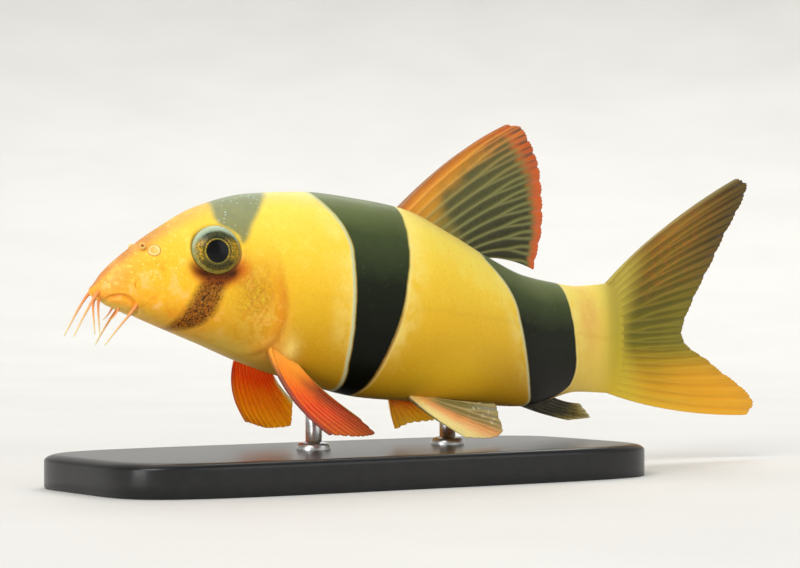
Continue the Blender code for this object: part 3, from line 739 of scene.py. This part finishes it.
def ray_mask(across, outward, rays, fork):
    """1 on a ray and 0 between rays: a bell across each ray, which narrows outward. Each ray
    forks at a share of the way out, and once more."""
    off = across * (rays - 1)
    off = np.abs(off - np.round(off))
    off = np.abs(off - 0.23 * fade(outward, fork, fork + 0.35))
    off = np.abs(off - 0.11 * fade(outward, fork + 0.3, 1.1))
    return bell(off, 0.17 - 0.09 * outward)


def fin(name, roots, tips, bows, rays, fork, swell):
    """A fin's two faces: rays are quadratic curves from root to tip through bowed middles, and
    the faces stand off them by the membrane and the ray's height, along the surface's normal.
    rays is their number, fork the share of the way out where they first fork, and swell what is
    added to each side at the root. The first ray is stouter, the rays are ringed, the membrane
    is pleated between them, and it ends a little short of their tips."""
    across = np.linspace(0.0, 1.0, RAY_LINES * (rays - 1) + 1)[:, None]
    v = np.linspace(0.0, 1.0, FIN_ROWS)[None]
    mask = ray_mask(across, v, rays, fork)
    shares, *axes = zip(*tips)
    root = roots(across[:, 0])
    tip = np.stack([smooth(across[:, 0], shares, axis) for axis in axes], axis=-1)
    fray = (0.986 + 0.01 * ray_mask(across, 1.0, rays, fork)
            + 0.003 * np.sin(37.0 * across) * np.sin(83.0 * across))
    tip = root + (tip - root) * fray
    first, last = np.array(bows)
    bend = (root + tip) / 2 + first + (last - first) * across
    t = v[..., None]
    middle = ((1 - t) ** 2 * root[:, None] + 2 * t * (1 - t) * bend[:, None]
              + t ** 2 * tip[:, None])
    middle = place(*np.moveaxis(middle, -1, 0))
    normal = unit(np.cross(np.gradient(middle, axis=0), np.gradient(middle, axis=1)))
    lead = 1 + LEADING_RAY * bell(across, 0.6 / rays)
    ring = 1 + RAY_RING * np.sin(v * 150.0) * fade(v, 0.25, 0.5)
    pleat = PLEAT * np.cos(2 * math.pi * across * (rays - 1)) * fade(v, 0.05, 0.4)
    half = (MEMBRANE * (1 - 0.6 * v) + RAY_RIDGE * mask * lead * ring * (1 - 0.75 * v)
            + swell * (1 - v) ** 5)
    left = middle + normal * (pleat + half)[..., None]
    right = middle + normal * (pleat - half)[..., None]
    rings = np.concatenate([left, right[::-1]], axis=0).transpose(1, 0, 2)
    twice = [np.concatenate([a, a[::-1]], axis=0).T
             for a in np.broadcast_arrays(across, v, mask)]
    return shell(name, rings, "folded", fin=twice)


def dorsal_finish(w):
    across, out, ray = w.value("fin")
    cloud = (w.noise(3.0, 3.0) - 0.5) * 0.2
    speck = w.noise(0.5, 3.0, 0.7)
    front = (226, 110, 40, out.fade(0.55, 0.8) * across.fade(0.5, 0.2) * 0.7)
    colour = (across + cloud * 0.4).ramp(
        (0.0, 214, 124, 44), (0.1, 226, 148, 34), (0.28, 196, 142, 34),
        (0.45, 150, 130, 50), (1.0, 128, 118, 44)).coats(front)
    dark = (across + out * 0.2 + cloud).fade(0.16, 0.36)
    dark = dark * (out + across * 0.3 + cloud * 0.3).fade(0.12, 0.3)
    dark = dark * (out - ray * 0.05 + cloud * 0.6).fade(0.93, 0.8)
    depths = (speck * 0.6 + across * 0.7).ramp((0.4, 88, 92, 48), (0.9, 40, 40, 10))
    fringe = out.fade(0.86, 0.95) * across.fade(0.5, 0.3) * across.fade(0.03, 0.1)
    pale = ray * across.fade(0.1, 0.3) * out.fade(0.95, 0.82)
    colour = colour.lay(depths, dark * (1 - ray * 0.3) * 0.96).coats(
        (226, 92, 8, (out + cloud * 0.4).fade(0.82, 0.95) * 0.88),
        (60, 56, 24, fringe * (1 - ray) * 0.8),
        (140, 142, 84, pale * (0.45 + speck * 0.4)),
        (248, 186, 90, ray * across.fade(0.3, 0.06) * 0.4),
        (150, 110, 90, across.bell(0.0, 0.012) * 0.7))
    return {**FIN_GLOSS, "Base Color": colour, "Bump": w.noise(0.3) * 0.02,
            "Alpha": 1 - out.fade(0.8, 0.96) * 0.2 * (1 - ray * 0.6)}


back_ends = [(along, 0.0) for along in DORSAL_ROOT]
hang(fin("dorsal_membrane", root_on_skin(*back_ends), DORSAL_TIPS, DORSAL_BOWS, *DORSAL_RAYS),
     finish("dorsal_paint", dorsal_finish), "dorsal_fin", "dorsal_fin")


# Anal fin: a short black fin on seven rays under the tail, with an olive edge, cast as the
# dorsal fin is. The third band runs down into it.

ANAL_ROOT = (78.0, 86.0)
ANAL_TIPS = ((0.0, 90.0, 0.3, -22.3), (0.4, 95.5, 0.3, -22.0), (1.0, 93.0, 0.1, -19.6))
ANAL_BOWS = ((0.0, 0.0, -0.4), (0.0, 0.0, -0.4))
ANAL_RAYS = (7, 0.4, 0.15)


def anal_finish(w):
    _, out, ray = w.value("fin")
    colour = (out + (w.noise(1.5) - 0.5) * 0.3).ramp(
        (0.0, 20, 20, 11), (0.55, 40, 36, 16), (0.8, 120, 104, 40), (1.0, 190, 170, 90))
    return {**FIN_GLOSS, "Base Color": colour.coats((120, 110, 66, ray * 0.4)),
            "Bump": w.noise(0.3) * 0.02, "Alpha": 1 - out.fade(0.8, 1.0) * 0.3}


belly_ends = [(along, math.pi) for along in ANAL_ROOT]
hang(fin("anal_membrane", root_on_skin(*belly_ends), ANAL_TIPS, ANAL_BOWS, *ANAL_RAYS),
     finish("anal_paint", anal_finish), "anal_fin", "anal_fin")


# Tail fin: a deeply forked fan of eighteen fine rays, cast thin, olive yellow at its root, with
# orange brown streaks in the upper lobe and a golden orange lower lobe.

CAUDAL_TIPS = ((0.0, 128.4, 0.0, 18.3), (0.05, 130.8, 0.0, 17.2), (0.25, 124.6, 0.0, 6.2),
               (0.5, 116.9, 0.0, -8.3), (0.75, 123.8, 0.0, -14.0), (0.94, 132.0, 0.0, -20.6),
               (1.0, 130.6, 0.0, -22.6))
CAUDAL_BOWS = ((-0.6, 0.0, 1.8), (0.0, 0.0, -2.2))
CAUDAL_RAYS = (18, 0.28, 0.1)


def caudal_root(share):
    """Root points of the tail fin, just inside the body's last station, from back to belly."""
    back = body_value(LENGTH, BACK) - 0.1
    belly = body_value(LENGTH, BELLY) + 0.1
    return np.stack([np.full_like(share, LENGTH - 0.2), 0 * share,
                     back + (belly - back) * share], axis=-1)


def caudal_finish(w):
    across, out, ray = w.value("fin")
    cloud = (w.noise(5.0, 3.0) - 0.5) * 0.25
    streak = w.noise(1.2, 3.0, 0.6)
    colour = (across + cloud * 0.4).ramp(
        (0.0, 150, 112, 40), (0.1, 120, 92, 20), (0.35, 104, 94, 14), (0.55, 120, 112, 26),
        (0.7, 172, 140, 24), (0.88, 216, 158, 26), (1.0, 226, 176, 44))
    root = (out + cloud * 0.2).fade(0.4, 0.1)
    upper = across.fade(0.42, 0.2) * out.fade(0.15, 0.5)
    lower = across.fade(0.62, 0.85) * out.fade(0.35, 0.8)
    colour = colour.lay((1 - across).ramp(*TAIL_ROOT_PAINTS), root).coats(
        (172, 92, 26, upper * (ray * 0.2 + streak.fade(0.42, 0.7) * 0.5)),
        (48, 30, 8, upper * (out - across * 0.2).fade(0.45, 0.95) * 0.9),
        (236, 160, 26, lower * 0.65),
        (206, 180, 70, ray * 0.14 * out.fade(0.1, 0.4)),
        (70, 66, 12, (1 - ray) * across.spot(out, 0.4, 0.65, 0.22, 1.4) * 0.45),
        (170, 160, 110, across.bell(0.0, 0.012) * out.fade(0.1, 0.4) * 0.6))
    return {**FIN_GLOSS, "Base Color": colour, "Roughness": 0.48, "Specular IOR Level": 0.2,
            "Alpha": 1 - out.fade(0.85, 1.0) * 0.2 * (1 - ray), "Bump": w.noise(0.3) * 0.02}


hang(fin("tail_membrane", caudal_root, CAUDAL_TIPS, CAUDAL_BOWS, *CAUDAL_RAYS),
     finish("caudal_paint", caudal_finish), "caudal_fin", "caudal_fin_upper", "caudal_fin_lower")


# Paired fins: the pectoral fins grow behind the gill covers and the pelvic fins under the belly.
# Each is a thin blade cast on forked rays. The left pectoral is orange to deep red and the left
# pelvic cream, salmon and grey. The right pair lets more light through, and is painted a clearer,
# brighter orange with fewer dark stripes: painted light that lifts it out of the shade under the
# body.

PECTORAL_ROOT = ((25.9, -9.6), (30.4, -12.0))
PECTORAL_TIPS = {
    "left": ((0.0, 33.0, 11.5, -22.2), (0.35, 38.0, 11.0, -22.6), (0.75, 40.8, 10.0, -22.2),
             (1.0, 38.5, 9.0, -19.6)),
    "right": ((0.0, 30.5, -13.0, -21.3), (0.35, 35.0, -13.5, -22.4), (0.7, 38.5, -12.5, -22.0),
              (1.0, 37.5, -10.0, -18.0))}
PECTORAL_BOWS = {"left": ((-2.2, 1.2, -2.0), (-0.4, 1.0, -0.4)),
                 "right": ((-2.6, -2.0, -0.6), (-0.4, -1.0, -0.4))}
PECTORAL_RAYS = (13, 0.45, 0.35)
PELVIC_ROOT = ((51.0, -17.3), (54.5, -17.6))
PELVIC_TIPS = {
    "left": ((0.0, 59.2, 6.5, -23.7), (0.35, 63.5, 6.8, -23.9), (0.75, 67.3, 5.8, -22.6),
             (1.0, 67.5, 4.0, -18.6)),
    "right": ((0.0, 56.5, -7.5, -22.8), (0.3, 60.0, -7.5, -21.9), (0.75, 64.5, -6.5, -21.5),
              (1.0, 64.5, -4.5, -19.9))}
PELVIC_BOWS = {"left": ((0.0, 0.3, -0.8), (0.0, 0.3, -0.3)),
               "right": ((0.0, -0.3, -0.8), (0.0, -0.3, -0.3))}
PELVIC_RAYS = (9, 0.45, 0.25)


def pectoral_finish(w, clear_and_painted_light):
    across, out, ray = w.value("fin")
    cloud = (w.noise(2.5, 3.0) - 0.5) * 0.2
    grain = w.noise(0.35, 3.0, 0.7)
    colour = (out + cloud).ramp((0.0, 250, 176, 50), (0.18, 250, 146, 30), (0.4, 244, 98, 20),
                                (0.62, 226, 48, 18), (1.0, 176, 62, 24))
    # Clearer, brighter orange for the right fin: partly painted light against the shade under the
    # body
    orange = (out + cloud).ramp((0.0, 255, 120, 20), (0.3, 255, 66, 8), (1.0, 255, 104, 16))
    rear = (across - out * 0.1 + cloud).fade(0.2, 0.55) * out.fade(0.1, 0.4) * (1 - clear_and_painted_light * 0.7)
    edge = across.fade(0.92, 0.985) * out.fade(0.25, 0.5)
    colour = colour.lay(orange, clear_and_painted_light).coats(
        (96, 34, 12, rear * (1 - ray * 0.8) * (0.6 + grain * 0.5)),
        (250, 150, 50, ray * (0.45 - rear * 0.25)),
        (250, 166, 60, grain.fade(0.6, 0.75) * 0.4),
        (120, 62, 60, across.fade(0.07, 0.015) * out.fade(0.1, 0.3) * 0.8),
        # Painted highlight: a thin yellow-green line along the rear edge
        (200, 190, 80, edge * 0.8))
    return {**FIN_GLOSS, "Base Color": colour, "Roughness": 0.42, "Coat Weight": 0.08,
            "Coat Roughness": 0.2, "Alpha": 1 - edge * 0.35, "Bump": grain * 0.03,
            "Subsurface Weight": 0.25 + clear_and_painted_light * 0.35, "Subsurface Radius": (1.0, 0.35, 0.1),
            "Subsurface Scale": 0.001 + clear_and_painted_light * 0.002}


def pelvic_finish(w, clear_and_painted_light):
    across, out, ray = w.value("fin")
    cloud = (w.noise(1.8, 3.0) - 0.5) * 0.25
    colour = (across + cloud * 0.6).ramp(
        (0.0, 255, 230, 150), (0.2, 255, 224, 146), (0.38, 255, 186, 116),
        (0.56, 236, 150, 78), (0.72, 152, 126, 62), (1.0, 126, 118, 56))
    spots = w.noise(0.7, 2.0, 0.6).fade(0.58, 0.68) * across.fade(0.6, 0.85) * out.fade(0.4, 0.7)
    colour = colour.coats(
        (252, 190, 70, out.fade(0.25, 0.0) * 0.7),
        (255, 222, 160, ray * 0.35),
        (240, 230, 190, spots * 0.7),
        # Orange over the right fin: partly painted light against the shade under the body
        (255, 160, 36, clear_and_painted_light * 0.9))
    window = across.fade(0.6, 1.0) * out.fade(0.4, 0.9) * (1 - ray) * (1 - clear_and_painted_light)
    return {**FIN_GLOSS, "Base Color": colour, "Alpha": 1 - window * 0.4,
            "Bump": w.noise(0.3) * 0.02, "Subsurface Weight": 0.2 + clear_and_painted_light * 0.4,
            "Subsurface Radius": (1.0, 0.4, 0.15), "Subsurface Scale": 0.001 + clear_and_painted_light * 0.002}


for side, clear_and_painted_light in (("left", 0.0), ("right", 1.0)):
    for kind, work, ends, tips, bows, rays in (
            ("pectoral", pectoral_finish, PECTORAL_ROOT, PECTORAL_TIPS, PECTORAL_BOWS,
             PECTORAL_RAYS),
            ("pelvic", pelvic_finish, PELVIC_ROOT, PELVIC_TIPS, PELVIC_BOWS, PELVIC_RAYS)):
        roots = root_on_skin(*((along, turn_at(along, height, side)) for along, height in ends))
        hang(fin(f"{kind}_blade_{side}", roots, tips[side], bows[side], *rays),
             finish(f"{kind}_paint_{side}", work, clear_and_painted_light), "paired_fins", f"{kind}_fin_{side}")


# Barbels: four pairs of soft feelers round the mouth, cast in flexible resin over wire. They
# are finely ringed, orange at the root and pale at the tip, and spread down and forwards.

BARBELS = {
    "rostral_outer": ((0.9, -1.1), (-3.2, 2.0, -7.65), (-0.2, 0.1, 0.1), 0.33),
    "rostral_inner": ((1.2, -2.0), (1.2, 1.0, -7.4), (-0.1, 0.0, 0.0), 0.29),
    "maxillary": ((6.1, -3.05), (1.6, 1.9, -8.9), (-0.1, 0.5, 0.2), 0.33),
    "mandibular": ((4.1, -3.35), (2.6, 1.5, -5.3), (0.1, 0.0, -0.2), 0.2)}
BARBEL_ROWS = 140
BARBEL_SIDES = 20
BARBEL_SINK = 0.25
BARBEL_LEAVE = 0.7


def barbel(name, root, tip, bow, radius, side):
    """A cubic path that leaves the skin squarely and bows to its tip, with circles round it. Their
    radius thins evenly to the tip, flares at the root, and ripples along the way."""
    point, normal = skin(root[0], turn_at(*root, side))
    mirror = np.array((1, 1 if side == "left" else -1, 1))
    start = point - normal * BARBEL_SINK
    leave = point + normal * BARBEL_LEAVE
    tip = tip * mirror
    bend = (point + tip) / 2 + bow * mirror
    v = np.linspace(0.0, 1.0, BARBEL_ROWS)[:, None]
    path = place(*((1 - v) ** 3 * start + 3 * v * (1 - v) ** 2 * leave
                   + 3 * v ** 2 * (1 - v) * bend + v ** 3 * tip).T)
    ripple = 1 + 0.07 * np.sin(v * np.linalg.norm(tip - point) * 21.0) * fade(v, 0.08, 0.25)
    thick = radius * (0.86 - 0.58 * v + 0.4 * (1 - v) ** 9) * ripple
    thick = thick * np.sqrt(np.clip((1.004 - v) / 0.03, 0.02, 1.0))
    ahead = unit(np.gradient(path, axis=0))
    across = unit(np.cross(ahead, (0.3, 1.0, 0.0)))
    third = np.cross(ahead, across)
    angle = around(BARBEL_SIDES)[None, :, None]
    rings = path[:, None] + thick[:, None] * (np.cos(angle) * across[:, None]
                                              + np.sin(angle) * third[:, None])
    return shell(name, rings, "poles", feeler=(v, ripple, np.zeros((1, BARBEL_SIDES))))


def barbel_finish(w):
    out, ring, _ = w.value("feeler")
    colour = (out + (w.noise(0.8) - 0.5) * 0.2).ramp(
        (0.0, 252, 172, 60), (0.25, 246, 124, 48), (0.6, 240, 160, 84), (1.0, 226, 216, 150))
    colour = colour.coats((255, 224, 160, ring.fade(1.0, 1.07) * 0.5))
    return {"Base Color": colour, "Roughness": 0.38, "Coat Weight": 0.3, "Coat Roughness": 0.2,
            "Bump": w.noise(0.15) * 0.01}


barbel_paint = finish("barbel_skin", barbel_finish)
for kind, (root, tip, bow, radius) in BARBELS.items():
    for side in ("left", "right"):
        hang(barbel(f"feeler_{kind}_{side}", root, tip, bow, radius, side), barbel_paint,
             "barbels", f"barbel_{kind}_{side}")


# Stand: a flat base plate of aluminium with rounded corners and a softened edge, enamelled
# black, and two brushed steel rods that reach up into the belly. Each rod stands in a small
# turned collar.

BASE_SIZE = (94.0, 40.0, 5.0)
BASE_EDGE = 1.0
BASE_SQUARENESS = 5.0
BASE_HEADING = 34.0
BASE_SIDES = 320
BASE_FOOT = ((0.98, 0.0), (0.995, 0.05), (1.0, 0.2), (1.0, 2.0))
BASE_TOP = (0.9, 0.6, 0.3)
ROD_RADIUS = 1.25
ROD_RINGS = (0.5, 0.8, 1.0)
COLLAR = ((2.6, -0.3), (2.6, 0.0), (2.6, 0.5), (2.4, 0.9), (2.0, 1.1), (1.5, 1.2),
          (ROD_RADIUS, 1.25))
ROD_SIDES = 48
ROD_INSET = 0.5
ROD_PLACES = {"front": 36.0, "rear": 61.0}
UPRIGHT = np.eye(3)[[2, 0, 1]]


def enamel_finish(w):
    orange_peel = w.noise(1.6, 2.0, 0.4)
    dust = w.noise(0.5, 4.0, 0.7).fade(0.6, 0.8)
    colour = orange_peel.ramp((0.3, 22, 22, 23), (0.7, 28, 28, 29))
    return {"Base Color": colour.coats((88, 88, 86, dust * 0.12)),
            "Roughness": 0.3 + dust * 0.15, "Coat Weight": 0.12, "Coat Roughness": 0.12,
            "Specular IOR Level": 0.3, "Bump": orange_peel * 0.01}


def steel_finish(w):
    spot = w.node("TexCoord", {}, {}, "Object")
    long_spot = w.node("Mapping", {}, {"Vector": spot, "Scale": (1.0, 1.0, 40.0)})
    brush = w.node("TexNoise", {}, {"Vector": long_spot, "Scale": 300.0, "Detail": 4.0})
    return {"Base Color": brush.ramp((0.3, 168, 170, 172), (0.7, 206, 207, 206)),
            "Metallic": 1.0, "Roughness": 0.24 + brush * 0.16, "Bump": brush * 0.004}


def base_plate():
    """Rings of a superellipse |x/a|^n + |y/b|^n = 1, drawn in over a rounded upper edge."""
    length, width, thick = BASE_SIZE
    angle = around(BASE_SIDES)
    corner = 2.0 / BASE_SQUARENESS
    x = length / 2 * signed(np.cos(angle), corner)
    y = width / 2 * signed(np.sin(angle), corner)
    bend = np.linspace(0.0, math.pi / 2, 12)
    foot_draw, foot_high = zip(*BASE_FOOT)
    draw = np.concatenate((foot_draw, 1 - BASE_EDGE * 2 / width * (1 - np.cos(bend)), BASE_TOP))
    high = np.concatenate((foot_high, thick - BASE_EDGE * (1 - np.sin(bend)),
                           [thick] * len(BASE_TOP)))
    heading = math.radians(BASE_HEADING)
    flat = np.stack([x * math.cos(heading) - y * math.sin(heading),
                     x * math.sin(heading) + y * math.cos(heading), 0 * x], axis=-1)
    return draw[:, None, None] * flat + high[:, None, None] * np.array((0.0, 0.0, 1.0))


def rod(along):
    """A straight round rod from the base up into the belly, turned round upright axes: circles up
    a profile of (radius, height), which starts with its collar."""
    top = place(along, 0.0, body_value(along, BELLY) + ROD_INSET)
    foot = top * (1, 1, 0) + (0, 0, BASE_SIZE[2])
    rise = top[2] - foot[2]
    wide, high = np.vstack([COLLAR, [(ROD_RADIUS, rise * share) for share in ROD_RINGS]]).T
    return turned((foot, *UPRIGHT), wide, high, ROD_SIDES)


hang(shell("base_plate", base_plate(), "poles"), finish("black_enamel", enamel_finish),
     "stand_base", "stand_base")
steel = finish("brushed_steel", steel_finish)
for end, along in ROD_PLACES.items():
    hang(shell("rod_" + end, rod(along), "poles"), steel, "stand_rods", "stand_rod_" + end)


# Studio: a pale round sweep whose floor curves up into its rim, so that no horizon shows, five
# soft lamps and a pale sky. The camera is level with the eye, about as far off as the photo's.

CAMERA_PLACE = (7.0077, -425.5, 30.0)
CAMERA_LENS = 125.8
CAMERA_SENSOR = 36.0
SWEEP_FLOOR = 420.0
SWEEP_RISE = 1700.0
SWEEP_SIDES = 96
SWEEP_BENDS = 24
SKY_STRENGTH = 0.34
LAMPS = {
    "key": ((-0.35, -0.75, 0.75), (0.02, 0.0, 0.03), 0.6, 7.2),
    "fill": ((0.9, -0.55, 0.35), (0.02, 0.0, 0.03), 0.9, 3.4),
    "low": ((-0.5, -0.55, 0.05), (0.0, 0.0, 0.02), 0.35, 2.2),
    "backdrop": ((0.0, 0.5, 1.3), (0.0, 2.0, 0.3), 1.2, 7.0),
    "rim": ((0.1, 0.75, 0.85), (0.0, 0.0, 0.04), 0.6, 4.5)}


def sweep_finish(w):
    return {"Base Color": w.noise(60.0).ramp((0.3, 226, 224, 219), (0.7, 231, 229, 224)),
            "Roughness": 0.7, "Bump": w.noise(0.8) * 0.01}


def sweep():
    """Rings turned round upright axes: a flat floor, then a quarter circle up to its rim."""
    bend = np.linspace(0.0, math.pi / 2, SWEEP_BENDS)
    flat = np.linspace(1.0, SWEEP_FLOOR, 12)
    wide = np.concatenate((flat, SWEEP_FLOOR + SWEEP_RISE * np.sin(bend)))
    high = np.concatenate((0 * flat, SWEEP_RISE * (1 - np.cos(bend))))
    rings = turned((0.0, *UPRIGHT), wide, high, SWEEP_SIDES)
    index = np.arange(wide.size * SWEEP_SIDES).reshape(-1, SWEEP_SIDES)
    after = np.roll(index, -1, axis=1)
    quads = np.stack([index[:-1], index[1:], after[1:], after[:-1]], axis=-1).reshape(-1, 4)
    mesh = bpy.data.meshes.new("studio_sweep")
    mesh.from_pydata((rings.reshape(-1, 3) * MM).tolist(), [],
                     quads.tolist() + [index[0].tolist()])
    mesh.shade_smooth()
    return bpy.data.objects.new("studio_sweep", mesh)


floor = sweep()
bpy.context.collection.objects.link(floor)
floor.data.materials.append(finish("sweep_paper", sweep_finish))

for name, (spot, aim, size, power) in LAMPS.items():
    lamp = bpy.data.lights.new(name, "AREA")
    lamp.energy = power
    lamp.size = size
    made = bpy.data.objects.new(name, lamp)
    bpy.context.collection.objects.link(made)
    made.location = spot
    ray = np.subtract(aim, spot)
    made.rotation_euler = (math.acos(-ray[2] / np.linalg.norm(ray)), 0.0,
                           math.atan2(-ray[0], ray[1]))

world = bpy.data.worlds.new("studio_sky")
world.use_nodes = True
sky = world.node_tree.nodes["Background"]
sky.inputs["Color"].default_value = paint(236, 238, 240)
sky.inputs["Strength"].default_value = SKY_STRENGTH
bpy.context.scene.world = world

camera = bpy.data.cameras.new("camera")
camera.lens = CAMERA_LENS
camera.sensor_width = CAMERA_SENSOR
viewer = bpy.data.objects.new("camera", camera)
bpy.context.collection.objects.link(viewer)
viewer.location = [value * MM for value in CAMERA_PLACE]
viewer.rotation_euler = (math.pi / 2, 0.0, 0.0)
bpy.context.scene.camera = viewer
bpy.context.scene.view_settings.view_transform = "Standard"
